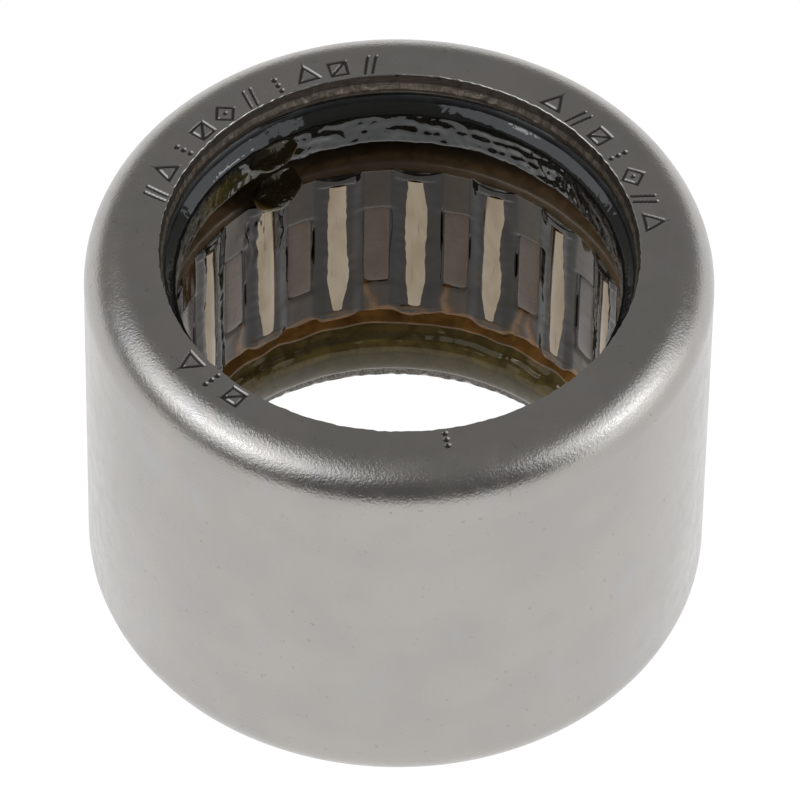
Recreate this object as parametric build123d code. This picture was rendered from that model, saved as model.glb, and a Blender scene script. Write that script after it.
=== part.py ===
from build123d import *
import math
import os

# Drawn-cup needle roller bearing with a lip seal at each end.
# Millimetres. The bearing's axis is Z and the origin is on the axis at mid-width.
# Outward from the shaft it has the seal lips, the caged needle rollers and the cup.

# ---- Driving dimensions ----
shaft_diameter = 16.0
width = 16.0

# Needle rollers
roller_count = 18
roller_diameter = 2.0
roller_edge_radius = 0.25
first_roller_angle = 85.8  # degrees about +Z, from +X

# Drawn cup
cup_wall = 0.97
cup_corner_radius = 1.6
cup_inside_corner_radius = 0.6
lip_thickness = 0.8
lip_hole_clearance = 0.37  # from the shaft to the lip's outer edge
lip_edge_taper = 0.15  # how much smaller the lip's hole is on its inner side

# Cage, folded from sheet into a shape with a narrow waist
cage_sheet = 0.45
cage_fold_angle = 50.0  # degrees between the sloping part and the axis
cage_shoulder_length = 0.58  # straight band between each rim and the slope
cage_fold_radius = 0.15
cage_rim_edge_radius = 0.15

# Lip seals
seal_height = 2.55
seal_land_length = 0.2  # the straight part that faces the shaft
seal_mouth_height = 0.72  # flared entry between the land and the seal's outer end
seal_mouth_flare = 0.22
seal_funnel_width = 0.5  # how far the inner side opens out from the land
seal_seat_chamfer = 0.3
seal_root_chamfer = 0.7  # clears the cup's rounded inside corner
seal_edge_radius = 0.12

# ---- Fits and clearances ----
shaft_to_roller = 0.02
roller_to_raceway = 0.01
roller_end_clearance = 0.05
bar_side_clearance = 0.06
cage_to_shaft = 0.2
rim_to_shaft = 0.25
cage_to_raceway = 0.38
cage_axial_play = 1.2
cage_to_lower_seal = 0.1
seal_to_lip = 0.05
seal_seat_interference = 0.02
shaft_to_seal = 0.01

# ---- Worked out from the above ----
shaft_radius = shaft_diameter / 2
roller_radius = roller_diameter / 2
pitch_radius = shaft_radius + shaft_to_roller + roller_radius
raceway_radius = pitch_radius + roller_radius + roller_to_raceway
outer_radius = raceway_radius + cup_wall

half_width = width / 2
lip_inner_face = half_width - lip_thickness
seal_outer_end = lip_inner_face - seal_to_lip
seal_inner_end = seal_outer_end - seal_height

cage_length = 2 * seal_inner_end - cage_axial_play
pocket_length = cage_length - 2 * cage_sheet
roller_length = pocket_length - 2 * roller_end_clearance
cage_centre = -seal_inner_end + cage_to_lower_seal + cage_length / 2

roller_pitch_angle = 360.0 / roller_count
roller_spacing = 2 * pitch_radius * math.sin(math.radians(roller_pitch_angle / 2))
bar_width = roller_spacing - roller_diameter - 2 * bar_side_clearance


def flat_face(points):
    """A flat face with straight sides, drawn with radius along X and height along Y."""
    return make_face(Polyline(*points, close=True))


def corners_near(face, points):
    """The corners of a face that lie at the given points."""
    return [face.vertices().sort_by_distance(Vector(*point))[0] for point in points]


def turned(section):
    """The solid that a section makes when it is turned once round the bearing's axis."""
    return revolve(Plane.XZ * section, Axis.Z)


def outer_cup():
    """Thin drawn cup whose ends fold inward as lips; its bore is the rollers' raceway."""
    lip_radius = shaft_radius + lip_hole_clearance
    lip_inner_radius = lip_radius - lip_edge_taper
    outline = [
        (lip_inner_radius, lip_inner_face),
        (lip_radius, half_width),
        (outer_radius, half_width),
        (outer_radius, -half_width),
        (lip_radius, -half_width),
        (lip_inner_radius, -lip_inner_face),
    ]
    body = flat_face(outline)
    body = fillet(body.vertices().group_by(Axis.X)[-1], cup_corner_radius)
    hollow = Rectangle(2 * raceway_radius, 2 * lip_inner_face)
    hollow = fillet(hollow.vertices(), cup_inside_corner_radius)
    return turned(body - hollow)


def lip_seal():
    """Seal ring for the upper end: a root held in the cup, and a land round the shaft."""
    seat_radius = raceway_radius + seal_seat_interference
    land_radius = shaft_radius + shaft_to_seal
    land_outer_end = seal_outer_end - seal_mouth_height
    land_inner_end = land_outer_end - seal_land_length
    mouth = (land_radius + seal_mouth_flare, seal_outer_end)
    funnel = (land_radius + seal_funnel_width, seal_inner_end)
    outline = [
        mouth,
        (land_radius, land_outer_end),
        (land_radius, land_inner_end),
        funnel,
        (seat_radius - seal_seat_chamfer, seal_inner_end),
        (seat_radius, seal_inner_end + seal_seat_chamfer),
        (seat_radius, seal_outer_end - seal_root_chamfer),
        (seat_radius - seal_root_chamfer, seal_outer_end),
    ]
    section = flat_face(outline)
    section = fillet(corners_near(section, [mouth, funnel]), seal_edge_radius)
    return turned(section)


def cage_section():
    """The folded sheet's section: a rim, shoulder and slope at each end of a waist."""
    shoulder_outer = raceway_radius - cage_to_raceway
    shoulder_inner = shoulder_outer - cage_sheet
    waist_inner = shaft_radius + cage_to_shaft
    waist_outer = waist_inner + cage_sheet
    rim_inner = shaft_radius + rim_to_shaft
    fold_angle = math.radians(cage_fold_angle)
    slope_run = (shoulder_outer - waist_outer) / math.tan(fold_angle)
    fold_offset = cage_sheet * math.tan(fold_angle / 2)
    rim_top = cage_length / 2
    rim_bottom = pocket_length / 2
    inner_shoulder = rim_bottom - cage_shoulder_length
    outer_shoulder = inner_shoulder - fold_offset
    inner_waist = inner_shoulder - slope_run
    outer_waist = outer_shoulder - slope_run
    folds = [
        (shoulder_outer, outer_shoulder),
        (waist_outer, outer_waist),
        (waist_inner, inner_waist),
        (shoulder_inner, inner_shoulder),
    ]
    rim = [
        (shoulder_inner, rim_bottom),
        (rim_inner, rim_bottom),
        (rim_inner, rim_top),
        (shoulder_outer, rim_top),
    ]
    half = [
        (waist_outer, 0),
        (waist_inner, 0),
        folds[2],
        folds[3],
        *rim,
        folds[0],
        folds[1],
    ]
    section = flat_face(half)
    section = fillet(corners_near(section, folds), cage_fold_radius)
    section = fillet(corners_near(section, rim[1:]), cage_rim_edge_radius)
    return section + mirror(section, Plane.XZ)


def cage():
    """One-piece cage: two rims joined by a folded bar between each pair of rollers."""
    sleeve = turned(cage_section())
    outward_from_axis = (Align.MIN, Align.CENTER, Align.CENTER)
    bar_slab = Box(outer_radius, bar_width, pocket_length, align=outward_from_axis)
    bar_slabs = Part()
    for index in range(roller_count):
        angle = first_roller_angle + (index + 0.5) * roller_pitch_angle
        bar_slabs += Rot(0, 0, angle) * bar_slab
    pockets = Cylinder(outer_radius, pocket_length) - bar_slabs
    return Pos(0, 0, cage_centre) * (sleeve - pockets)


def needle_roller(index):
    """Needle roller with rounded ends, standing in its own pocket of the cage."""
    blank = Cylinder(roller_radius, roller_length)
    roller = fillet(blank.edges().filter_by(GeomType.CIRCLE), roller_edge_radius)
    angle = first_roller_angle + index * roller_pitch_angle
    return Rot(0, 0, angle) * Pos(pitch_radius, 0, cage_centre) * roller


def all_parts():
    """Every node of the bearing by name."""
    upper_seal = lip_seal()
    parts = {
        "outer_cup": outer_cup(),
        "cage": cage(),
        "upper_lip_seal": upper_seal,
        "lower_lip_seal": mirror(upper_seal, Plane.XY),
    }
    for index in range(roller_count):
        parts[f"needle_roller_{index + 1:02d}"] = needle_roller(index)
    return parts


os.makedirs("parts", exist_ok=True)
for name, shape in all_parts().items():
    export_step(shape, f"parts/{name}.step")
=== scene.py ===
import math

import bmesh
import bpy
import numpy as np
from mathutils import Matrix, Vector


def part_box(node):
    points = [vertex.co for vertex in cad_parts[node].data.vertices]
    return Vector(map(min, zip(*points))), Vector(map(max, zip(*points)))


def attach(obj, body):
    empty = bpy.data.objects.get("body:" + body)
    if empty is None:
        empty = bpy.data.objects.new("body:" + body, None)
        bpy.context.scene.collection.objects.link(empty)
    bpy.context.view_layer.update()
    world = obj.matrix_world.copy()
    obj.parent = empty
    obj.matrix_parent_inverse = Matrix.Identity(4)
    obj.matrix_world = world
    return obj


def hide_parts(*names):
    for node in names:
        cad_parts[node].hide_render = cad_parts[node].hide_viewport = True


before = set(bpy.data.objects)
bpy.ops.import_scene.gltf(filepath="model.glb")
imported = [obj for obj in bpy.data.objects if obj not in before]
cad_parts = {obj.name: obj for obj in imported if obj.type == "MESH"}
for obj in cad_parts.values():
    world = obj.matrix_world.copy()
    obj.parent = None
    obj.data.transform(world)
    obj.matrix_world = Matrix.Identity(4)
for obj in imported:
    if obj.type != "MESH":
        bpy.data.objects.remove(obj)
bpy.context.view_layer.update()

# Lengths in this script are millimetres until a mesh is made. Angles round the bearing are
# degrees from the back (+Y) towards the right (+X), unless a line says otherwise.
MM = 0.001
TURN = 2 * math.pi

# ---- Sizes, read from the frame where the frame holds them ----
cup_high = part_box("outer_cup")[1]
cage_low, cage_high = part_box("cage")
seal_low, seal_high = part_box("upper_lip_seal")
roller_low, roller_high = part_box("needle_roller_01")

outer_radius = cup_high.x / MM
half_width = cup_high.z / MM
cage_top = cage_high.z / MM
cage_bottom = cage_low.z / MM
shoulder_radius = cage_high.x / MM
seal_outer_end = seal_high.z / MM
seal_inner_end = seal_low.z / MM
seat_radius = seal_high.x / MM
roller_top = roller_high.z / MM
roller_bottom = roller_low.z / MM
roller_radius = (roller_high.x - roller_low.x) / 2 / MM
roller_x = (roller_high.x + roller_low.x) / 2 / MM
roller_y = (roller_high.y + roller_low.y) / 2 / MM
pitch_radius = math.hypot(roller_x, roller_y)
first_roller = math.degrees(math.atan2(roller_x, roller_y))
roller_names = sorted(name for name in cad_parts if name.startswith("needle_roller"))
roller_step = 360 / len(roller_names)

# The cup: its corners, its lips, and the height of the ragged line on their sheared edges.
corner_radius = 1.6
corner_height = half_width - corner_radius
inside_corner_radius = 0.6
lip_thickness = 0.8
lip_inner_face = half_width - lip_thickness
lip_flat_radius = outer_radius - corner_radius
lip_hole_radius = 8.37
lip_edge_taper = 0.15
torn_height = half_width - 0.46
raceway_radius = pitch_radius + roller_radius + 0.01

# The marks stamped in the upper lip: stroke and depth, half a mark's height, and their ring.
mark_stroke = 0.075
mark_depth = 0.05
mark_height = 0.40
mark_ring_radius = 8.9

# The seals: the land round the shaft, the flared mouth outside it and the funnel inside it.
land_radius = 8.01
land_length = 0.2
mouth_height = 0.72
mouth_flare = 0.22
funnel_width = 0.5

# The cage.
cage_sheet = 0.45
waist_radius = 8.2
rim_radius = 8.25
bar_width = 1.01

# The grease: the free edge of a lip with no shaft in it, and the film between the rollers.
free_lip_radius = 7.78
film_top = cage_top - 0.17
film_bottom = cage_bottom + 0.24
film_radius = 8.1
film_least_radius = 8.012
film_web_radius = 8.165
film_back_radius = 8.45


# ---- Shape tools ----
def unit_wave(count, seed, low, high, stretch):
    """Wave numbers round the axis, wave numbers along the section and phases, from one seed."""
    chance = np.random.default_rng(seed)
    around = chance.integers(low, high + 1, count)
    along = chance.uniform(-stretch, stretch, count)
    phase = chance.uniform(0, TURN, count)
    return around, along, phase


def ripple(angle, along, seed, low=3, high=40, stretch=3.0, count=24):
    """Smooth unevenness: a mean of cosines of whole turns round the axis and of the distance
    along the section, each with its own phase. It closes on itself after one turn."""
    waves, slopes, phases = unit_wave(count, seed, low, high, stretch)
    total = np.zeros(np.broadcast(angle, along).shape)
    for wave, slope, phase in zip(waves, slopes, phases):
        total = total + np.cos(wave * angle + slope * along + phase)
    return total / math.sqrt(count)


def arc(centre, radius, start, end, steps):
    """Points on a circle round a centre, from one angle to another in degrees."""
    turn = np.radians(np.linspace(start, end, steps))
    return np.column_stack([centre[0] + radius * np.cos(turn), centre[1] + radius * np.sin(turn)])


def run(start, end, steps):
    """Evenly spaced points on a straight line, both ends included."""
    return np.linspace(start, end, steps)


def section(*runs):
    """The runs of a section joined end to end, with points that repeat left out."""
    points = np.concatenate(runs)
    step = np.linalg.norm(np.diff(points, axis=0, append=points[:1]), axis=1)
    return points[step > 1e-6]


def rounded_loop(corners):
    """A closed section with its corners cut, three times over: each time puts two points on
    every side, a quarter and three quarters of the way along it, and leaves the corners out."""
    points = np.array(corners, dtype=float)
    for _ in range(3):
        following = np.roll(points, -1, 0)
        near, far = 0.75 * points + 0.25 * following, 0.25 * points + 0.75 * following
        points = np.stack([near, far], 1).reshape(-1, 2)
    return points


def rise(value, low, high):
    """A smooth step: 0 below low, 1 above high, and 3t^2 - 2t^3 of the share t between."""
    share = np.clip((value - low) / (high - low), 0, 1)
    return share * share * (3 - 2 * share)


def mound(value, centre, reach):
    """A smooth bump: exp(-d^2), where d is the distance from the centre over the reach."""
    return np.exp(-((value - centre) / reach) ** 2)


def mound_at(angle, degrees, reach):
    """A mound round the axis, its centre and reach in degrees, for angles from 0 to a turn. The
    centre is less than 0, towards the left of the back."""
    return mound(np.degrees(angle) - 360, degrees, reach)


def softened(points, reach, rounds):
    """A closed section with its points drawn, round after round, by the share that reach gives
    towards the mean of their two neighbours."""
    for _ in range(rounds):
        points = (1 - reach) * points + reach * (np.roll(points, 1, 0) + np.roll(points, -1, 0)) / 2
    return points


def ring_faces(rows, columns, close_rows):
    """Four-cornered faces of a grid that closes on itself round the axis, and, where asked,
    from its last row back to its first."""
    row = np.arange(rows if close_rows else rows - 1)[:, None]
    column = np.arange(columns)[None, :]
    next_row = (row + 1) % rows
    next_column = (column + 1) % columns
    corners = [row * columns + column, row * columns + next_column,
               next_row * columns + next_column, next_row * columns + column]
    return np.stack([np.broadcast_to(c, (row.size, columns)) for c in corners], -1).reshape(-1, 4)


def pole_faces(rows, columns):
    """Three-cornered faces that close a grid's first and last rows. Each row's pole is one
    point: the first and the second after the grid's own."""
    column = np.arange(columns)
    following = (column + 1) % columns
    last = (rows - 1) * columns
    first_fan = np.stack([np.full(columns, rows * columns), column, following], -1)
    last_fan = np.stack([np.full(columns, rows * columns + 1), last + following, last + column], -1)
    return first_fan.tolist() + last_fan.tolist()


def make_piece(name, points, faces, material, body, replaced=(), tint=None):
    """A smooth-shaded mesh object from points in millimetres, its closed shells turned to face
    outwards, tied to its body. A tint is one number per point, from 0 to 1."""
    mesh = bpy.data.meshes.new(name)
    mesh.from_pydata((points.reshape(-1, 3) * MM).tolist(), [], [list(face) for face in faces])
    shell = bmesh.new()
    shell.from_mesh(mesh)
    bmesh.ops.recalc_face_normals(shell, faces=shell.faces)
    shell.to_mesh(mesh)
    shell.free()
    mesh.polygons.foreach_set("use_smooth", np.ones(len(mesh.polygons), dtype=bool))
    if tint is not None:
        layer = mesh.attributes.new("tint", "FLOAT", "POINT")
        layer.data.foreach_set("value", np.ascontiguousarray(tint, dtype=np.float32).ravel())
    mesh.materials.append(material)
    mesh.update()
    piece = bpy.data.objects.new(name, mesh)
    bpy.context.scene.collection.objects.link(piece)
    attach(piece, body)
    if replaced:
        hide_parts(*replaced)
    return piece


def turned_points(outline, angle, lift=0.0, spread=0.0):
    """The grid of a section carried round the axis: at each angle from the back, a section
    point stands at its radius plus spread and its height plus lift."""
    radius = outline[:, 0][:, None] + spread
    height = outline[:, 1][:, None] + lift
    radius, height, turn = np.broadcast_arrays(radius, height, angle[None, :])
    return np.stack([radius * np.sin(turn), radius * np.cos(turn), height], -1)


def even_angles(count):
    """Evenly spaced angles over one turn, in radians."""
    return np.linspace(0, TURN, count, endpoint=False)


# ---- Finishes ----
def new_finish(name):
    """A material's node tree, its main shader, and the place of each point on the object."""
    material = bpy.data.materials.new(name)
    material.use_nodes = True
    tree = material.node_tree
    shader = tree.nodes["Principled BSDF"]
    place = tree.nodes.new("ShaderNodeTexCoord").outputs["Object"]
    return material, tree, shader, place


def axis_parts(tree, place):
    """The x, y and z of a place or a direction, as three sockets."""
    node = tree.nodes.new("ShaderNodeSeparateXYZ")
    tree.links.new(place, node.inputs[0])
    return node.outputs


def math_node(tree, operation, first, second=0.0):
    """The result of one sum on two values, each a socket or a number."""
    node = tree.nodes.new("ShaderNodeMath")
    node.operation = operation
    for socket, value in zip(node.inputs, (first, second)):
        if isinstance(value, bpy.types.NodeSocket):
            tree.links.new(value, socket)
        else:
            socket.default_value = value
    return node.outputs[0]


def stretched(tree, place, scale):
    """The place of each point with its three axes scaled."""
    node = tree.nodes.new("ShaderNodeMapping")
    node.inputs["Scale"].default_value = scale
    tree.links.new(place, node.inputs["Vector"])
    return node.outputs[0]


def mottle(tree, place, size, detail=3.0, skew=0.0):
    """Cloudy unevenness with patches about this many millimetres across, from 0 to 1."""
    node = tree.nodes.new("ShaderNodeTexNoise")
    node.inputs["Scale"].default_value = 1 / (size * MM)
    node.inputs["Detail"].default_value = detail
    node.inputs["Roughness"].default_value = 0.55
    node.inputs["Distortion"].default_value = skew
    tree.links.new(place, node.inputs["Vector"])
    return node.outputs["Fac"]


def between(tree, value, low, high, new_low=0.0, new_high=1.0):
    """A value's stretch from low to high carried over by a smooth step to a new stretch, and
    held outside it."""
    node = tree.nodes.new("ShaderNodeMapRange")
    node.interpolation_type = "SMOOTHSTEP"
    tree.links.new(value, node.inputs["Value"])
    node.inputs["From Min"].default_value = low
    node.inputs["From Max"].default_value = high
    node.inputs["To Min"].default_value = new_low
    node.inputs["To Max"].default_value = new_high
    return node.outputs["Result"]


def blend_colour(tree, amount, first, second):
    """Two colours, each a socket or red, green and blue, mixed by an amount."""
    node = tree.nodes.new("ShaderNodeMix")
    node.data_type = "RGBA"
    factor, first_colour, second_colour = node.inputs[0], node.inputs[6], node.inputs[7]
    for socket, value in ((factor, amount), (first_colour, first), (second_colour, second)):
        if isinstance(value, bpy.types.NodeSocket):
            tree.links.new(value, socket)
        elif isinstance(value, tuple):
            socket.default_value = (*value, 1.0)
        else:
            socket.default_value = value
    return node.outputs[2]


def relief(tree, height, depth, under=None):
    """A bump of this depth in millimetres, laid over another if one is given."""
    node = tree.nodes.new("ShaderNodeBump")
    node.inputs["Strength"].default_value = 1.0
    node.inputs["Distance"].default_value = depth * MM
    tree.links.new(height, node.inputs["Height"])
    if under is not None:
        tree.links.new(under, node.inputs["Normal"])
    return node.outputs["Normal"]


def round_place(tree, place):
    """The radius and the size of the height at each point, in millimetres."""
    x, y, z = axis_parts(tree, place)
    squares = math_node(tree, "MULTIPLY", x, x), math_node(tree, "MULTIPLY", y, y)
    radius = math_node(tree, "SQRT", math_node(tree, "ADD", *squares))
    height = math_node(tree, "ABSOLUTE", z)
    return math_node(tree, "MULTIPLY", radius, 1 / MM), math_node(tree, "MULTIPLY", height, 1 / MM)


def tint_of(tree):
    """The tint that each point of the piece carries."""
    node = tree.nodes.new("ShaderNodeAttribute")
    node.attribute_name = "tint"
    return node.outputs["Fac"]


def cup_finish():
    """Satin drawn steel: a calm wall with faint cool and warm clouds, tumbled grainy corners,
    matte ground lips, and brown scored metal on the upper sheared edge, dark on the lower."""
    material, tree, shader, place = new_finish("satin_cup_steel")
    radius, height = round_place(tree, place)
    corner = math_node(tree, "MULTIPLY",
                       between(tree, height, corner_height - 0.5, corner_height + 0.5),
                       between(tree, radius, lip_flat_radius - 0.15, lip_flat_radius + 0.15))
    sheared = math_node(tree, "MULTIPLY",
                        between(tree, radius, lip_hole_radius + 0.015, lip_hole_radius - 0.01),
                        between(tree, height, lip_inner_face - 0.1, lip_inner_face - 0.02))
    torn = math_node(tree, "MULTIPLY",
                     between(tree, height, torn_height - 0.20, torn_height - 0.12),
                     between(tree, height, torn_height + 0.14, torn_height + 0.06))

    warm_steel, pale_steel = (0.402, 0.389, 0.369), (0.428, 0.411, 0.386)
    cool_steel, brown_steel = (0.40, 0.415, 0.43), (0.455, 0.40, 0.385)
    speck, painted_groove_shade = (0.28, 0.27, 0.26), (0.085, 0.080, 0.074)
    scored, torn_dull, torn_bright = (0.20, 0.172, 0.145), (0.36, 0.31, 0.26), (0.60, 0.54, 0.47)
    lower_edge_dark, lower_edge_pale = (0.035, 0.030, 0.025), (0.16, 0.14, 0.12)
    clouds = mottle(tree, place, 3.5, 2.0)
    colour = blend_colour(tree, between(tree, clouds, 0.35, 0.65), warm_steel, pale_steel)
    cool = mottle(tree, stretched(tree, place, (1, 1, 0.6)), 2.2, 2.0, skew=0.6)
    colour = blend_colour(tree, between(tree, cool, 0.58, 0.74, 0, 0.5), colour, cool_steel)
    brown = mottle(tree, stretched(tree, place, (1.3, 1.1, 0.5)), 2.6, 3.0, skew=0.9)
    colour = blend_colour(tree, between(tree, brown, 0.62, 0.75, 0, 0.45), colour, brown_steel)
    specks = mottle(tree, place, 0.22, 1.0)
    colour = blend_colour(tree, between(tree, specks, 0.70, 0.78, 0, 0.5), colour, speck)
    edge_cloud = mottle(tree, stretched(tree, place, (1, 1, 0.4)), 0.07, 3.0)
    ragged = between(tree, edge_cloud, 0.3, 0.7)
    torn_colour = blend_colour(tree, ragged, torn_dull, torn_bright)
    upper_edge = blend_colour(tree, torn, scored, torn_colour)
    # The lower lip's sheared edge is painted near black, ragged with paler patches.
    lower_edge = blend_colour(tree, ragged, lower_edge_dark, lower_edge_pale)
    is_upper = math_node(tree, "GREATER_THAN", axis_parts(tree, place)[2], 0.0)
    edge_colour = blend_colour(tree, is_upper, lower_edge, upper_edge)
    colour = blend_colour(tree, sheared, colour, edge_colour)
    # Painted shade: the stamped marks' grooves take a dark colour by their tint.
    colour = blend_colour(tree, tint_of(tree), colour, painted_groove_shade)
    tree.links.new(colour, shader.inputs["Base Color"])

    shader.inputs["Metallic"].default_value = 1.0
    wear = mottle(tree, place, 0.6, 4.0)
    roughness = between(tree, wear, 0.3, 0.7, 0.21, 0.28)
    roughness = math_node(tree, "ADD", roughness, math_node(tree, "MULTIPLY", sheared, 0.15))
    tree.links.new(roughness, shader.inputs["Roughness"])

    streaks = mottle(tree, stretched(tree, place, (1, 1, 0.03)), 0.05, 2.0)
    surface = relief(tree, streaks, 0.0006)
    grain = mottle(tree, place, 0.045, 2.0)
    surface = relief(tree, grain, 0.0016, under=surface)
    tumbled = mottle(tree, place, 0.10, 3.0)
    corner_grain = math_node(tree, "MULTIPLY", tumbled, corner)
    surface = relief(tree, corner_grain, 0.013, under=surface)
    scoring = mottle(tree, stretched(tree, place, (0.05, 0.05, 1)), 0.05, 3.0)
    surface = relief(tree, math_node(tree, "MULTIPLY", scoring, sheared), 0.012, under=surface)
    tree.links.new(surface, shader.inputs["Normal"])
    return material


def roller_finish():
    """Ground and polished bearing steel under a thin warm film of oil."""
    material, tree, shader, place = new_finish("polished_roller_steel")
    film = mottle(tree, stretched(tree, place, (1, 1, 0.35)), 0.8, 3.0, skew=0.5)
    thin_oil, thick_oil, hair_line = (0.285, 0.235, 0.175), (0.24, 0.19, 0.135), (0.09, 0.07, 0.05)
    colour = blend_colour(tree, between(tree, film, 0.35, 0.7), thin_oil, thick_oil)
    hair = mottle(tree, stretched(tree, place, (1, 1, 0.05)), 0.13, 2.0)
    colour = blend_colour(tree, between(tree, hair, 0.66, 0.74, 0, 0.55), colour, hair_line)
    tree.links.new(colour, shader.inputs["Base Color"])
    shader.inputs["Metallic"].default_value = 1.0
    tree.links.new(between(tree, film, 0.3, 0.7, 0.10, 0.17), shader.inputs["Roughness"])
    lines = mottle(tree, stretched(tree, place, (1, 1, 0.02)), 0.06, 2.0)
    surface = relief(tree, lines, 0.0006)
    runs = mottle(tree, stretched(tree, place, (1, 1, 0.3)), 0.9, 1.0, skew=1.0)
    surface = relief(tree, runs, 0.02, under=surface)
    tree.links.new(surface, shader.inputs["Normal"])
    return material


def cage_finish():
    """Dark drawn sheet steel wetted with brown oil, deeper on the rims than on the bars."""
    material, tree, shader, place = new_finish("oiled_cage_steel")
    middle = (cage_top + cage_bottom) / 2 * MM
    above_middle = math_node(tree, "SUBTRACT", axis_parts(tree, place)[2], middle)
    rim = between(tree, math_node(tree, "ABSOLUTE", above_middle), 3.35 * MM, 3.6 * MM)
    cloud = mottle(tree, stretched(tree, place, (1, 1, 0.5)), 0.7, 3.0)
    depth = between(tree, cloud, 0.3, 0.7)
    bar_colour = blend_colour(tree, depth, (0.052, 0.034, 0.023), (0.070, 0.048, 0.033))
    rim_colour = blend_colour(tree, depth, (0.10, 0.055, 0.018), (0.045, 0.030, 0.014))
    tree.links.new(blend_colour(tree, rim, bar_colour, rim_colour), shader.inputs["Base Color"])
    shader.inputs["Metallic"].default_value = 1.0
    tree.links.new(between(tree, cloud, 0.3, 0.7, 0.22, 0.34), shader.inputs["Roughness"])
    shader.inputs["Coat Weight"].default_value = 0.4
    shader.inputs["Coat Roughness"].default_value = 0.06
    surface = relief(tree, mottle(tree, place, 0.08, 3.0), 0.003)
    surface = relief(tree, mottle(tree, place, 0.9, 2.0, skew=0.8), 0.03, under=surface)
    tree.links.new(surface, shader.inputs["Normal"])
    return material


def seal_finish():
    """Black nitrile rubber, fine-grained, wet with thin oil."""
    material, tree, shader, place = new_finish("black_seal_rubber")
    cloud = mottle(tree, place, 0.8, 3.0)
    black, worn_black = (0.010, 0.011, 0.013), (0.022, 0.023, 0.025)
    colour = blend_colour(tree, between(tree, cloud, 0.35, 0.7), black, worn_black)
    tree.links.new(colour, shader.inputs["Base Color"])
    tree.links.new(between(tree, cloud, 0.3, 0.7, 0.40, 0.52), shader.inputs["Roughness"])
    shader.inputs["Coat Weight"].default_value = 0.15
    shader.inputs["Coat Roughness"].default_value = 0.3
    surface = relief(tree, mottle(tree, place, 0.05, 2.0), 0.004)
    tree.links.new(surface, shader.inputs["Normal"])
    return material


def grease_finish(name, clear, tinted, ripple_size, ripple_depth,
                  dullness=0.03, warmth=(1.0, 0.935, 0.84), index=1.42):
    """Wet glossy grease: where its tint is 0 it is clear and takes the dark of what is under
    it, and where its tint is 1 it has its own body colour, cloudy with what it has picked up.
    Its gloss has a least roughness (dullness), a colour (warmth) and an optical index, and
    ripples of this size and depth in millimetres."""
    material, tree, shader, place = new_finish(name)
    cloud = mottle(tree, place, 0.7, 3.0, skew=0.8)
    thin = tuple(0.6 * part for part in tinted)
    body = blend_colour(tree, between(tree, cloud, 0.34, 0.66), thin, tinted)
    colour = blend_colour(tree, tint_of(tree), clear, body)
    tree.links.new(colour, shader.inputs["Base Color"])
    roughness = between(tree, cloud, 0.3, 0.7, dullness, dullness + 0.04)
    tree.links.new(roughness, shader.inputs["Roughness"])
    shader.inputs["IOR"].default_value = index
    shader.inputs["Specular Tint"].default_value = (*warmth, 1.0)
    surface = relief(tree, mottle(tree, place, ripple_size, 1.0, skew=1.0), ripple_depth)
    tree.links.new(surface, shader.inputs["Normal"])
    return material


# ---- Pieces ----
def stroke_gap(u, v, start, end):
    """Distance from each point (u, v) to the straight stroke between two ends."""
    du, dv = end[0] - start[0], end[1] - start[1]
    share = ((u - start[0]) * du + (v - start[1]) * dv) / (du * du + dv * dv)
    share = np.clip(share, 0, 1)
    return np.hypot(u - start[0] - share * du, v - start[1] - share * dv)


def hatch(u, v):
    """Two leaning strokes side by side."""
    left = stroke_gap(u, v, (-0.24, -mark_height), (-0.04, mark_height))
    return np.minimum(left, stroke_gap(u, v, (0.04, -mark_height), (0.24, mark_height)))


def dots(u, v):
    """Three small round punch marks in line across the ring."""
    nearest = np.minimum(np.hypot(u, np.abs(v) - 0.28), np.hypot(u, v))
    return np.maximum(nearest - 0.045, 0)


def diamond(u, v):
    """The outline of a square that stands on its corner, with a punch mark inside it."""
    outline = np.abs(np.abs(u) + np.abs(v) - 0.40) / 1.42
    return np.minimum(outline, np.maximum(np.hypot(u, v) - 0.03, 0))


def triangle(u, v):
    """The outline of a triangle: the level line of the largest of its three side distances."""
    return np.abs(np.maximum(0.866 * np.abs(u) + 0.5 * v, -v) - 0.22)


def square(u, v):
    """The outline of a square, crossed from corner to corner by one stroke."""
    outline = np.abs(np.maximum(np.abs(u), np.abs(v)) - 0.30)
    return np.minimum(outline, stroke_gap(u, v, (-0.30, -0.30), (0.30, 0.30)))


# Each run of stamped marks: the angle of its first mark, the step between marks, and the marks.
mark_runs = (
    (-74.0, 7.4, (hatch, triangle, dots, square, diamond, hatch, dots, triangle, square, hatch)),
    (37.0, 7.2, (triangle, hatch, square, dots, diamond, hatch, triangle)),
    (-141.0, 7.0, (square, dots, triangle)),
    (169.0, 7.0, (dots,)),
)


def marked_angles():
    """Angles round the cup in radians, close together under the stamped marks and wider
    elsewhere."""
    fine, wide, margin = math.radians(0.25), math.radians(0.7), 3.5
    here = math.radians(-180)
    angles = []
    while here < math.radians(180) - wide / 2:
        angles.append(here)
        near = any(math.radians(first - margin) < here
                   < math.radians(first + step * (len(marks) - 1) + margin)
                   for first, step, marks in mark_runs)
        here += fine if near else wide
    return np.array(angles)


def stamped(radius, angle):
    """How deep the stamped marks go: each mark's strokes cut a groove with a rounded floor,
    deepest on the stroke's line and level with the lip half a stroke away from it."""
    depth = np.zeros(np.broadcast(radius, angle).shape)
    for first, step, marks in mark_runs:
        for index, mark in enumerate(marks):
            turn = angle - math.radians(first + index * step)
            across = (turn + math.pi) % TURN - math.pi
            gap = mark(across * mark_ring_radius, radius - mark_ring_radius)
            groove = mark_depth * np.clip(1 - (gap / mark_stroke) ** 2, 0, 1)
            depth = np.maximum(depth, groove)
    return depth


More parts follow.
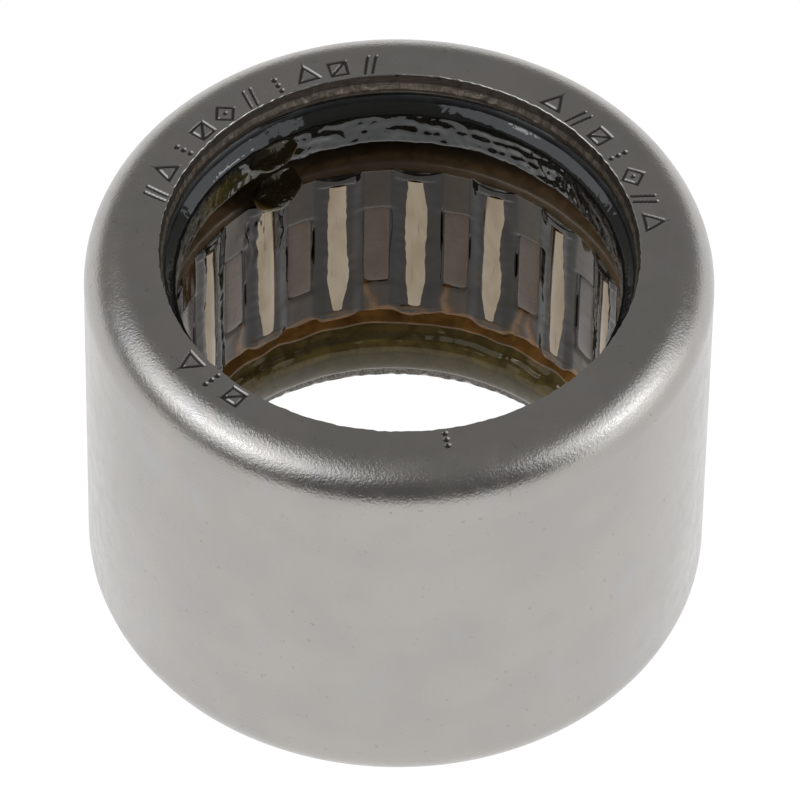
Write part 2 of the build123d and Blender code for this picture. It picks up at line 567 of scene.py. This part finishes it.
def make_cup(material):
    """The drawn cup: a closed section of lip face, quarter-round corner, wall, corner, lip,
    sheared lip edge, raceway and sheared edge again, carried once round the axis. The upper
    lip's face sinks by the stamped marks' depth, both lip edges wander by a hundredth or two,
    and halfway down each is the ragged line where shearing turned to tearing."""
    lip_inner_radius = lip_hole_radius - lip_edge_taper
    burr = 0.05
    inside = raceway_radius - inside_corner_radius
    outline = section(
        arc((lip_hole_radius + burr, half_width - burr), burr, 180, 90, 4),
        run((lip_hole_radius + burr, half_width), (lip_flat_radius, half_width), 29),
        arc((lip_flat_radius, corner_height), corner_radius, 90, 0, 13),
        run((outer_radius, corner_height), (outer_radius, -corner_height), 3),
        arc((lip_flat_radius, -corner_height), corner_radius, 0, -90, 9),
        run((lip_flat_radius, -half_width), (lip_hole_radius + burr, -half_width), 3),
        arc((lip_hole_radius + burr, burr - half_width), burr, 270, 180, 4),
        run((lip_hole_radius, burr - half_width), (lip_inner_radius, -lip_inner_face), 8),
        run((lip_inner_radius, -lip_inner_face), (inside, -lip_inner_face), 3),
        arc((inside, inside_corner_radius - lip_inner_face), inside_corner_radius, -90, 0, 5),
        arc((inside, lip_inner_face - inside_corner_radius), inside_corner_radius, 0, 90, 5),
        run((inside, lip_inner_face), (lip_inner_radius, lip_inner_face), 3),
        run((lip_inner_radius, lip_inner_face), (lip_hole_radius, half_width - burr), 9),
    )
    angle = marked_angles()
    radius, height = outline[:, 0][:, None], outline[:, 1][:, None]
    on_face = (height > half_width - 1e-6) & (radius > lip_hole_radius)
    groove = stamped(radius, angle[None, :]) * on_face
    at_edge = (radius < lip_hole_radius + 2 * burr) & (np.abs(height) > lip_inner_face + 0.1)
    spread = 0.012 * ripple(angle[None, :], height, 11, 20, 150, 6.0) * at_edge
    torn = np.clip(ripple(angle[None, :], height, 12, 60, 170, 9.0), 0, 1)
    torn = torn * mound(np.abs(height), torn_height, 0.06)
    spread = spread - 0.045 * torn * at_edge
    points = turned_points(outline, angle, -groove, spread)
    faces = ring_faces(len(outline), len(angle), True)
    # This tint paints shade into the stamped grooves.
    tint = rise(groove, 0.1 * mark_depth, 0.75 * mark_depth)
    return make_piece("satin_outer_cup", points, faces, material, "cup_body",
                      ("outer_cup",), tint)


def seal_outline(end):
    """A lip seal's section at the upper end (end 1) or the lower end (end -1): flared mouth,
    land round the shaft, funnel that opens towards the rollers, and root seated in the cup."""
    mouth = seal_outer_end - mouth_height
    land_end = mouth - land_length
    funnel = land_radius + funnel_width
    points = section(
        run((land_radius + mouth_flare, seal_outer_end - 0.04), (land_radius, mouth), 8),
        run((land_radius, mouth), (land_radius, land_end), 5),
        run((land_radius, land_end), (funnel - 0.03, seal_inner_end + 0.08), 14),
        run((funnel + 0.06, seal_inner_end), (seat_radius - 0.3, seal_inner_end), 6),
        run((seat_radius, seal_inner_end + 0.3), (seat_radius, seal_outer_end - 0.7), 6),
        run((seat_radius - 0.7, seal_outer_end),
            (land_radius + mouth_flare + 0.06, seal_outer_end), 6),
    )
    return softened(points, 0.5, 3) * (1, end)


def make_seal(name, node, end, material):
    """A lip seal carried once round the axis, its section wandering by a hundredth or two."""
    outline = seal_outline(end)
    angle = even_angles(360)
    spread = 0.006 * ripple(angle[None, :], outline[:, 1][:, None], 21 + end, 2, 14, 2.0)
    points = turned_points(outline, angle, 0.0, spread)
    faces = ring_faces(len(outline), len(angle), True)
    return make_piece(name, points, faces, material, "cup_body", (node,))


def make_roller(name, index, material):
    """A needle roller: a straight side with a quarter-round at each end, carried round the
    roller's own axis, with each flat end drawn in to one point."""
    edge = 0.25
    flat = roller_radius - edge
    innermost = 0.12
    outline = section(
        run((innermost, roller_bottom), (flat, roller_bottom), 4),
        arc((flat, roller_bottom + edge), edge, -90, 0, 8),
        arc((flat, roller_top - edge), edge, 0, 90, 8),
        run((flat, roller_top), (innermost, roller_top), 4),
    )
    angle = even_angles(64)
    ring = turned_points(outline, angle)
    turn = math.radians(first_roller + index * -roller_step)
    centre = np.array([pitch_radius * math.sin(turn), pitch_radius * math.cos(turn), 0.0])
    poles = np.array([[0, 0, roller_bottom], [0, 0, roller_top]])
    points = np.concatenate([ring.reshape(-1, 3), poles]) + centre
    side = ring_faces(len(outline), len(angle), False)[:, ::-1]
    faces = side.tolist() + pole_faces(len(outline), len(angle))
    body = "roller_body_" + name[-2:]
    return make_piece("polished_" + name, points, faces, material, body, (name,))


def cage_path():
    """The cage bar's path from the lower rim to the upper: shoulder, slope, waist, slope and
    shoulder, along the middle of the sheet. Straight runs between the corners are softened by
    giving each point, twice over, half its own place and a quarter of each neighbour's. Fold
    heights are from the cage's middle, and the waist reaches further down than up."""
    middle = (cage_top + cage_bottom) / 2
    shoulder = shoulder_radius - cage_sheet / 2
    waist = waist_radius + cage_sheet / 2
    rim = (cage_top - cage_bottom) / 2 - cage_sheet / 2
    fold_low, fold_down, fold_up, fold_high = -3.05, -2.40, 1.95, 2.87
    corners = np.array([(shoulder, -rim), (shoulder, fold_low), (waist, fold_down), (waist, 0),
                        (waist, fold_up), (shoulder, fold_high), (shoulder, rim)])
    runs = [run(start, end, 9)[:-1] for start, end in zip(corners[:-1], corners[1:])]
    steps = np.concatenate(runs + [corners[-1:]])
    inner = steps[1:-1]
    for _ in range(2):
        steps = np.concatenate([steps[:1], (steps[:-2] + 2 * inner + steps[2:]) / 4, steps[-1:]])
        inner = steps[1:-1]
    return steps + (0, middle)


def make_cage(material):
    """The folded cage: each bar is a rounded rectangle of sheet carried along the folded path,
    repeated between the rollers, and each rim is a flat ring with rounded edges. The rounded
    rectangle is |x / a|^5 + |y / b|^5 = 1, with half the bar's width and half the sheet."""
    path = cage_path()
    ahead = np.gradient(path, axis=0)
    ahead /= np.linalg.norm(ahead, axis=1)[:, None]
    outward = np.column_stack([ahead[:, 1], -ahead[:, 0]])
    round_turn = even_angles(24)
    squareness = 5.0
    cosine, sine = np.cos(round_turn), np.sin(round_turn)
    side = np.sign(cosine) * np.abs(cosine) ** (2 / squareness) * bar_width / 2
    deep = np.sign(sine) * np.abs(sine) ** (2 / squareness) * cage_sheet / 2
    radius = path[:, 0][:, None] + outward[:, 0][:, None] * deep[None, :]
    height = path[:, 1][:, None] + outward[:, 1][:, None] * deep[None, :]
    across = np.broadcast_to(side[None, :], radius.shape)
    bar_faces = ring_faces(len(path), len(round_turn), False)
    around = np.arange(len(round_turn))
    caps = [around[::-1], (len(path) - 1) * len(round_turn) + around]
    points, faces = [], []
    count = 0
    for index in range(len(roller_names)):
        turn = math.radians(first_roller + (index + 0.5) * roller_step)
        x = radius * math.sin(turn) + across * math.cos(turn)
        y = radius * math.cos(turn) - across * math.sin(turn)
        points.append(np.stack([x, y, height], -1).reshape(-1, 3))
        faces += (bar_faces + count).tolist() + [(cap + count).tolist() for cap in caps]
        count += radius.size
    angle = even_angles(360)
    edge = 0.15
    inner, outer = rim_radius + edge, shoulder_radius - edge
    for low in (cage_bottom, cage_top - cage_sheet):
        high = low + cage_sheet
        outline = section(
            arc((inner, low + edge), edge, 180, 270, 5),
            arc((outer, low + edge), edge, -90, 0, 5),
            arc((outer, high - edge), edge, 0, 90, 5),
            run((outer, high), (inner, high), 6),
            arc((inner, high - edge), edge, 90, 180, 5),
        )
        ring = turned_points(outline, angle).reshape(-1, 3)
        points.append(ring)
        faces += (ring_faces(len(outline), len(angle), True)[:, ::-1] + count).tolist()
        count += len(ring)
    return make_piece("oiled_cage", np.concatenate(points), faces, material, "cage_body",
                      ("cage",))


def from_roller(angle):
    """For each angle, how far round it is from the nearest roller's middle, in millimetres at
    the film's radius, and that roller's number."""
    turns = (np.degrees(angle) - first_roller) / roller_step
    nearest = np.rint(turns)
    across = np.radians((turns - nearest) * roller_step) * film_radius
    return across, nearest.astype(int) % len(roller_names)


def film_angles():
    """Angles round the film, repeated for each roller: close together beside the bars, where
    the slits are, and at the edges of the bright strip, and wider elsewhere."""
    half = np.concatenate([run(0.0, 0.30, 4)[:-1], run(0.30, 0.55, 6)[:-1],
                           run(0.55, 0.80, 4)[:-1], run(0.80, 1.0, 9)[:-1],
                           run(1.0, 1.41, 5)[:-1]])
    across = np.concatenate([-half[:0:-1], half])
    rollers = np.arange(len(roller_names))[:, None] * roller_step + first_roller
    return np.sort(np.radians((rollers + np.degrees(across / film_radius)[None, :]).ravel()))


def slits(across, nearest, height, seed):
    """Narrow teardrop openings where the film has drawn back from a bar's edge: across, each
    is 1 - d^2 of the distance from its middle over its half width, and along, a smooth step
    from its ends. About three in five sides of the rollers have one."""
    chance = np.random.default_rng(seed)
    count = len(roller_names)
    depth = np.zeros(np.broadcast(across, height).shape)
    for side in (-1, 1):
        middle = chance.uniform(-1.2, 0.6, count)[nearest]
        length = chance.uniform(0.6, 1.5, count)[nearest]
        there = (chance.random(count) < 0.6)[nearest]
        groove = np.clip(1 - ((across * side - 0.905) / 0.045) ** 2, 0, 1)
        depth = depth + there * groove * rise(1 - np.abs(height - middle) / length, 0.0, 0.8)
    return depth


def film_heights(angle, across):
    """The height of each point of the film. Its rows are closer together towards both ends. In
    front of each roller, mounds draw the upper ones down into a scallop and the lower ones up
    into a hem, both wavy, and smooth steps fade them out towards the middle."""
    rows = np.concatenate([run(film_bottom, -3.6, 16)[:-1], run(-3.6, 2.4, 64)[:-1],
                           run(2.4, film_top, 15)])
    height = rows[:, None]
    scallop = 0.16 * mound(across, 0.0, 0.5) + 0.03 * ripple(angle, height, 31, 9, 40, 0.0)
    height = height - scallop * rise(height, 2.3, film_top)
    hem = 0.16 * mound(across, 0.0, 0.75) - 0.05 * ripple(angle, 0 * height, 39, 12, 60, 0.0)
    return height - hem * rise(-height, 3.5, -film_bottom)


def strip_half_width(across, nearest, height):
    """Half the width of the bright strip on each roller: 0.40, uneven by two ripples and by a
    lean of the roller's own, narrowed by smooth steps towards both ends, and 0 past them."""
    lean = np.random.default_rng(32).uniform(-0.05, 0.05, len(roller_names))[nearest]
    side = nearest + 0.7 * (across > 0)
    half = 0.40 + 0.05 * ripple(side, height, 33, 1, 5, 1.8, 10) + lean * np.sign(across)
    half = half + 0.012 * ripple(side, height, 40, 1, 9, 14.0, 12)
    half = half * (1 - 0.42 * rise(-height, 2.0, 3.9) - 0.15 * rise(height, 1.6, 2.8))
    half = half * rise(height, roller_bottom + 0.06, roller_bottom + 0.22)
    return half * rise(-height, 0.07 - roller_top, 0.20 - roller_top)


def bar_window(across, nearest, height):
    """1 where the film has sunk behind a bar's face, and 0 above and below that, where it
    bridges the bar's folds. Each bar's window has ends of its own."""
    ends = np.random.default_rng(30).uniform(-0.02, 0.10, (2, len(roller_names)))
    bar = np.where(across > 0, nearest, (nearest - 1) % len(roller_names))
    foot, head = -2.94 + ends[0][bar], -1.32 + ends[1][bar]
    return rise(height, foot, foot + 0.40) * rise(-height, head, head + 0.10)


def amber_veins(across, nearest, height):
    """How far each point is in a vein of amber, from 0 to 1. One vein to a roller, on a side of
    its own, climbs from the lower rim to the bar's foot: a mound across, narrower as it climbs,
    whose middle sways as a sine of the climb."""
    side = np.where(np.random.default_rng(37).random(len(roller_names)) < 0.5, -1, 1)[nearest]
    foot = np.random.default_rng(38).uniform(1.05, 1.3, len(roller_names))[nearest]
    climb = rise(height, -4.2, -2.7)
    middle = foot - 0.15 * np.sin(3 * climb + nearest)
    return mound(across * side, middle, 0.07 + 0.10 * (1 - climb)) * rise(-height, 2.45, 2.75)


def make_film(material):
    """The sleeve of clear grease drawn between the rollers and the cage bars. Within a bright
    strip its radius is the roller's own at the strip's edge, pitch - sqrt(roller^2 - half^2).
    Smooth steps carry it from there to the web beside the bar, and then behind the bar's face
    where the bar has its window. It is rippled all over, and streaked under the upper drop.
    Along the lower rim it swells into an amber bead, from which veins climb to the bars."""
    angle = film_angles()
    turn = angle[None, :]
    across, nearest = from_roller(turn)
    away = np.abs(across)
    height = film_heights(turn, across)
    window = bar_window(across, nearest, height)
    half = strip_half_width(across, nearest, height)

    behind_bar = film_web_radius + 0.085 * window
    beside_bar = film_web_radius + 0.025 * window
    contact = pitch_radius - np.sqrt(roller_radius ** 2 - half ** 2) - 0.006
    radius = contact + (beside_bar - contact) * rise(away, 0.45, 0.92)
    bar_edge = away + 0.03 * ripple(nearest + 0.5 * (across > 0), height, 61, 1, 6, 3.5, 10)
    radius = radius + (behind_bar - radius) * rise(bar_edge, 0.90, 0.955)
    radius = radius + 0.006 * ripple(turn, height, 34, 20, 90, 2.5)
    dripped = mound_at(turn, -37.0, 5.0) * rise(height, -0.4, 1.6) * rise(-height, -2.7, -2.3)
    radius = radius + 0.09 * dripped * ripple(turn, height, 60, 60, 220, 7.0)
    radius = radius + 0.24 * slits(across, nearest, height, 35)

    crest = -4.02 + 0.07 * ripple(turn, 0 * height, 36, 12, 60, 0.0) - 0.12 * mound(away, 0.0, 0.7)
    bead = rise(crest - height, -0.04, 0.08)
    vein = amber_veins(across, nearest, height)
    under_strip = 0.7 * mound(away, 0.0, 0.5) * mound(height, -3.94, 0.12)
    over_bar = 0.22 * rise(away, 0.92, 1.0) * (1 - window)
    tint = np.clip(bead + vein + under_strip + over_bar, 0, 1)
    lower_hem = rise(-height, -film_bottom - 0.10, -film_bottom + 0.02)
    radius = np.maximum(radius - 0.035 * vein + 0.10 * lower_hem, film_least_radius)
    points = np.stack([radius * np.sin(turn), radius * np.cos(turn), height + 0 * radius], -1)

    back_outline = np.array([(film_back_radius, film_top - 0.1), (film_back_radius, -0.5),
                             (film_back_radius, film_bottom + 0.02)])
    back = turned_points(back_outline, angle)
    points = np.concatenate([points, back])
    tint = np.concatenate([tint, np.zeros(back.shape[:2])])
    faces = ring_faces(len(points), len(angle), True)
    return make_piece("clear_grease_film", points, faces, material, "cage_body",
                      (), tint)


def make_bead(name, corners, count, waves, material, body, tint_rule,
              swell=0.0, sway=0.0, calm=None):
    """A ring of grease: a rounded section carried round the axis, rippled on its free side by
    waves (size, seed, fewest, most, slope), swollen here and there, and swaying up and down.
    Its tint comes from a rule that takes the angle and each point's radius and height, and
    another rule, of the angle and height, may calm its waves."""
    outline = rounded_loop(corners)
    angle = even_angles(count)
    radius, height = outline[:, 0][:, None], outline[:, 1][:, None]
    free_reach = 0.62
    free = rise(outline[:, 0].min() + free_reach - radius, 0.0, 0.2)
    if calm:
        free = free * calm(angle[None, :], height)
    spread = swell * ripple(angle[None, :], 0 * height, 41, 2, 9, 0.0, 8) * free
    for size, seed, fewest, most, slope in waves:
        spread = spread + size * ripple(angle[None, :], height, seed, fewest, most, slope) * free
    lift = sway * ripple(angle[None, :], 0 * height, 55, 7, 34, 0.0, 10) * free
    points = turned_points(outline, angle, lift, spread)
    tint = np.clip(tint_rule(angle[None, :], radius, height), 0, 1) + 0 * spread
    faces = ring_faces(len(outline), len(angle), True)
    return make_piece(name, points, faces, material, body, (), tint)


def make_rim_oil(material):
    """Brown oil lying on the cage's upper rim, a little proud of it, orange in one streak."""
    low, high = cage_top - 0.3, cage_top + 0.08
    corners = [(rim_radius - 0.13, low), (rim_radius - 0.07, low + 0.17),
               (rim_radius + 0.09, high - 0.02), (9.1, high),
               (shoulder_radius - 0.04, high - 0.05), (shoulder_radius - 0.1, low + 0.1),
               (rim_radius + 0.1, low - 0.1)]

    def streak(angle, radius, height):
        wander = 0.08 * ripple(angle, 0 * height, 43, 3, 20, 0.0, 10)
        return 0.35 + 0.65 * mound(radius, 8.62 + wander, 0.16)

    waves = [(0.006, 42, 10, 60, 3.0)]
    return make_bead("brown_rim_oil", corners, 540, waves, material, "cage_body",
                     streak)


def make_lower_grease(material):
    """Grease over the lower seal: an olive slope from the cage's rim to the free edge of the
    lip, with a shelf halfway that faces up, then a clear skin round the lip and its mouth."""
    skin = free_lip_radius - 0.05
    corners = [(8.47, -4.52), (8.33, -4.86), (8.22, -5.13), (8.14, -5.32),
               (8.09, -5.39), (7.92, -5.49), (7.87, -5.61), (skin, -5.95), (skin, -6.45),
               (7.79, -6.88), (7.88, -7.12), (8.08, -7.22), (8.3, -7.16), (8.45, -6.3),
               (8.62, -4.9)]

    def olive(angle, radius, height):
        foot = -6.08 + 0.04 * ripple(angle, 0 * height, 45, 6, 30, 0.0, 10)
        return rise(height, foot, -5.92) * 0.62 + 0.38

    def calm(angle, height):
        return 0.25 + mound(height, -5.42, 0.14)

    waves = [(0.008, 44, 40, 90, 0.3), (0.012, 46, 8, 30, 0.5)]
    return make_bead("olive_lower_grease", corners, 720, waves, material, "cup_body",
                     olive, sway=0.03, calm=calm)


def make_oil_collar(material):
    """Amber oil that stands in the angle between the cage's lower rim and the lower seal."""
    corners = [(8.50, -3.98), (8.38, -4.00), (8.25, -4.28), (8.12, -4.54),
               (8.00, -4.79), (8.10, -4.86), (8.44, -4.5)]

    def amber(angle, radius, height):
        return 0.8 + 0.2 * ripple(angle, height, 52, 5, 40, 2.0, 12)

    waves = [(0.012, 53, 14, 60, 1.5)]
    return make_bead("amber_oil_collar", corners, 720, waves, material, "cage_body",
                     amber, swell=0.012, sway=0.05)


def make_upper_grease(material):
    """Clear grease over the upper seal: a calm mouth that slopes in to the free edge of the lip,
    then a rippled skin hanging straight down, stained olive and calmer towards the left."""
    corners = [(8.25, 7.13), (8.23, 6.93), (8.02, 6.76), (7.82, 6.58),
               (free_lip_radius, 6.42), (free_lip_radius, 6.2), (7.79, 5.8), (7.80, 5.4),
               (7.81, 5.16), (7.90, 4.99), (8.2, 4.9), (8.55, 4.75), (8.7, 5.0), (8.45, 7.0)]

    def left_side(angle):
        return mound_at(angle, -54.0, 15.0)

    def stain(angle, radius, height):
        cloud = 0.45 + 0.45 * ripple(angle, height, 48, 6, 30, 3.0, 12)
        return left_side(angle) * cloud * rise(6.4 - height, 0.0, 0.4)

    def calm(angle, height):
        smooth_mouth = rise(height, 6.35, 6.6) * (1 - mound_at(angle, -36.0, 7.0))
        return (1 - 0.8 * smooth_mouth) * (1 - 0.6 * left_side(angle))

    waves = [(0.013, 47, 14, 60, 9.0), (0.010, 49, 6, 20, 16.0), (0.006, 50, 60, 140, 10.0)]
    return make_bead("clear_upper_grease", corners, 800, waves, material, "cup_body",
                     stain, swell=0.015, sway=0.03, calm=calm)


def make_drop(name, degrees, radius, height, size, material, seed):
    """A hanging drop, of this half width, stand-out and half height. At a share s of the way
    down, it stands out from the skin behind it by s^0.6 sqrt(1 - s^6), so it slopes out most at
    the top and turns back sharply at the bottom. With t the angle down from its top, its width
    is sin(t)^0.8. Both poles are single points. Its tint is a crescent of painted amber light
    round the bottom."""
    rows, columns = 56, 88
    half_across, stand_out, half_tall = size
    back_bulge = 0.12
    tilt = np.linspace(0, math.pi, rows + 2)[1:-1][:, None]
    turn = even_angles(columns)[None, :]
    share = (1 - np.cos(tilt)) / 2
    stand = share ** 0.6 * np.sqrt(1 - share ** 6)
    uneven = 1 + 0.09 * ripple(turn, 3 * tilt, seed, 1, 5, 1.5, 8) * np.sin(tilt)
    side = np.sin(tilt) ** 0.8 * np.cos(turn) * uneven * half_across
    inner = np.minimum(np.sin(turn), 0) * stand * stand_out * uneven
    deep = inner + np.maximum(np.sin(turn), 0) * back_bulge * np.sin(tilt)
    tall = np.cos(tilt) * half_tall + 0 * turn
    skin = np.concatenate([np.stack([side, deep, tall], -1).reshape(-1, 3),
                           [[0, 0, half_tall], [0, 0, -half_tall]]])
    where = math.radians(degrees)
    across, out = skin[:, 0], skin[:, 1] + radius
    points = np.stack([out * math.sin(where) + across * math.cos(where),
                       out * math.cos(where) - across * math.sin(where), skin[:, 2] + height], -1)
    # Painted light: a bright amber crescent round the drop's bottom.
    painted_glow_crescent = rise(share + 0.30 * np.abs(np.cos(turn)) ** 3, 0.74, 0.96)
    tint = np.concatenate([(0.02 + 0.9 * painted_glow_crescent).ravel(), [0.02, 0.92]])
    faces = ring_faces(rows, columns, False).tolist() + pole_faces(rows, columns)
    return make_piece(name, points, faces, material, "cup_body", (), tint)


# ---- Camera, floor and light ----
def make_camera():
    """A long lens above and in front of the bearing, turned a little about its own axis."""
    elevation, distance, roll = math.radians(48.61), 341.343 * MM, 0.016
    back = Vector((0, -math.cos(elevation), math.sin(elevation)))
    right = Vector((1, 0, 0))
    up = back.cross(right)
    tilted_right = math.cos(roll) * right + math.sin(roll) * up
    tilted_up = math.cos(roll) * up - math.sin(roll) * right
    data = bpy.data.cameras.new("camera")
    data.lens = 434.05
    data.sensor_width = 36.0
    data.shift_x, data.shift_y = 0.0034, 0.0022
    data.clip_start, data.clip_end = 0.01, 10
    camera = bpy.data.objects.new("camera", data)
    camera.matrix_world = Matrix.Translation(back * distance) @ Matrix(
        (tilted_right, tilted_up, back)).transposed().to_4x4()
    bpy.context.scene.collection.objects.link(camera)
    bpy.context.scene.camera = camera


def make_floor():
    """A wide white light table under the bearing."""
    reach = 3000.0
    mesh = bpy.data.meshes.new("light_table")
    height = -half_width - 0.01
    corners = np.array([(-reach, -reach, height), (reach, -reach, height),
                        (reach, reach, height), (-reach, reach, height)])
    mesh.from_pydata((corners * MM).tolist(), [], [(0, 1, 2, 3)])
    material = bpy.data.materials.new("white_light_table")
    material.use_nodes = True
    shader = material.node_tree.nodes["Principled BSDF"]
    shader.inputs["Base Color"].default_value = (0.0, 0.0, 0.0, 1)
    shader.inputs["Roughness"].default_value = 1.0
    shader.inputs["Specular IOR Level"].default_value = 0.0
    shader.inputs["Emission Color"].default_value = (1.0, 1.0, 1.0, 1)
    shader.inputs["Emission Strength"].default_value = 1.02
    mesh.materials.append(material)
    floor = bpy.data.objects.new("light_table", mesh)
    bpy.context.scene.collection.objects.link(floor)


def make_softbox(name, azimuth, elevation, width, height, brightness, distance=1.0):
    """A four-cornered soft light aimed at the bearing. Azimuth is degrees from the front
    towards the right, and sizes and distance are metres."""
    turn, climb = math.radians(azimuth), math.radians(elevation)
    away = Vector((math.sin(turn) * math.cos(climb), -math.cos(turn) * math.cos(climb),
                   math.sin(climb)))
    data = bpy.data.lights.new(name, "AREA")
    data.shape = "RECTANGLE"
    data.size, data.size_y = width, height
    data.energy = brightness * math.pi * width * height
    data.color = (0.95, 0.975, 1.0)
    lamp = bpy.data.objects.new(name, data)
    lamp.location = away * distance
    lamp.rotation_mode = "QUATERNION"
    lamp.rotation_quaternion = away.to_track_quat("Z", "Y")
    bpy.context.scene.collection.objects.link(lamp)


def make_room():
    """A dim grey room, a little darker towards the front and brighter below the horizon."""
    world = bpy.data.worlds.new("dim_room")
    bpy.context.scene.world = world
    world.use_nodes = True
    tree = world.node_tree
    background = tree.nodes["Background"]
    direction = axis_parts(tree, tree.nodes.new("ShaderNodeTexCoord").outputs["Generated"])
    front = between(tree, direction[1], -0.9, -0.2, 0.13, 0.262)
    low = between(tree, direction[2], 0.0, 0.2, 0.5, 0.0)
    tree.links.new(math_node(tree, "ADD", front, low), background.inputs["Strength"])
    background.inputs["Color"].default_value = (1.0, 0.985, 0.96, 1)


make_camera()
make_floor()
make_room()
make_softbox("left_softbox", -77, 51, 1.15, 0.90, 1.28)
make_softbox("left_softbox_core", -75, 49, 0.40, 0.10, 4.2, 0.98)
make_softbox("right_softbox", 84, 26, 0.95, 0.96, 1.16)
make_softbox("right_softbox_core", 84, 26, 0.26, 0.14, 4.4, 0.98)
bpy.context.scene.view_settings.view_transform = "Standard"

cup_steel = cup_finish()
roller_steel = roller_finish()
cage_steel = cage_finish()
seal_rubber = seal_finish()
film_grease = grease_finish("film_grease", (0.012, 0.010, 0.008), (0.27, 0.130, 0.036), 0.9, 0.012,
                            index=1.40)
rim_oil = grease_finish("rim_oil", (0.082, 0.064, 0.043), (0.21, 0.125, 0.058), 0.8, 0.02,
                        dullness=0.30)
olive_grease = grease_finish("olive_grease", (0.022, 0.018, 0.010), (0.165, 0.122, 0.044), 0.6,
                             0.008, warmth=(0.95, 0.88, 0.70), index=1.38)
# The drops' bright amber is partly grease colour and partly painted light in their bottom
# crescents.
drop_grease_and_glow = grease_finish("drop_grease_and_glow", (0.010, 0.0075, 0.004), (0.46, 0.29, 0.09), 0.35, 0.03)
clear_grease = grease_finish("clear_grease", (0.011, 0.011, 0.010), (0.14, 0.11, 0.02), 0.5, 0.015,
                             warmth=(0.97, 0.985, 1.0), index=1.52)

make_cup(cup_steel)
make_seal("upper_seal_ring", "upper_lip_seal", 1, seal_rubber)
make_seal("lower_seal_ring", "lower_lip_seal", -1, seal_rubber)
make_cage(cage_steel)
for order, roller in enumerate(roller_names):
    make_roller(roller, order, roller_steel)

make_film(film_grease)
make_rim_oil(rim_oil)
make_lower_grease(olive_grease)
make_upper_grease(clear_grease)
make_oil_collar(film_grease)
make_drop("upper_grease_drop", -36.0, 7.77, 5.95, (1.0, 0.52, 0.56), drop_grease_and_glow, 51)
make_drop("lower_grease_drop", -35.0, 7.74, 4.18, (0.92, 0.72, 0.86), drop_grease_and_glow, 54)
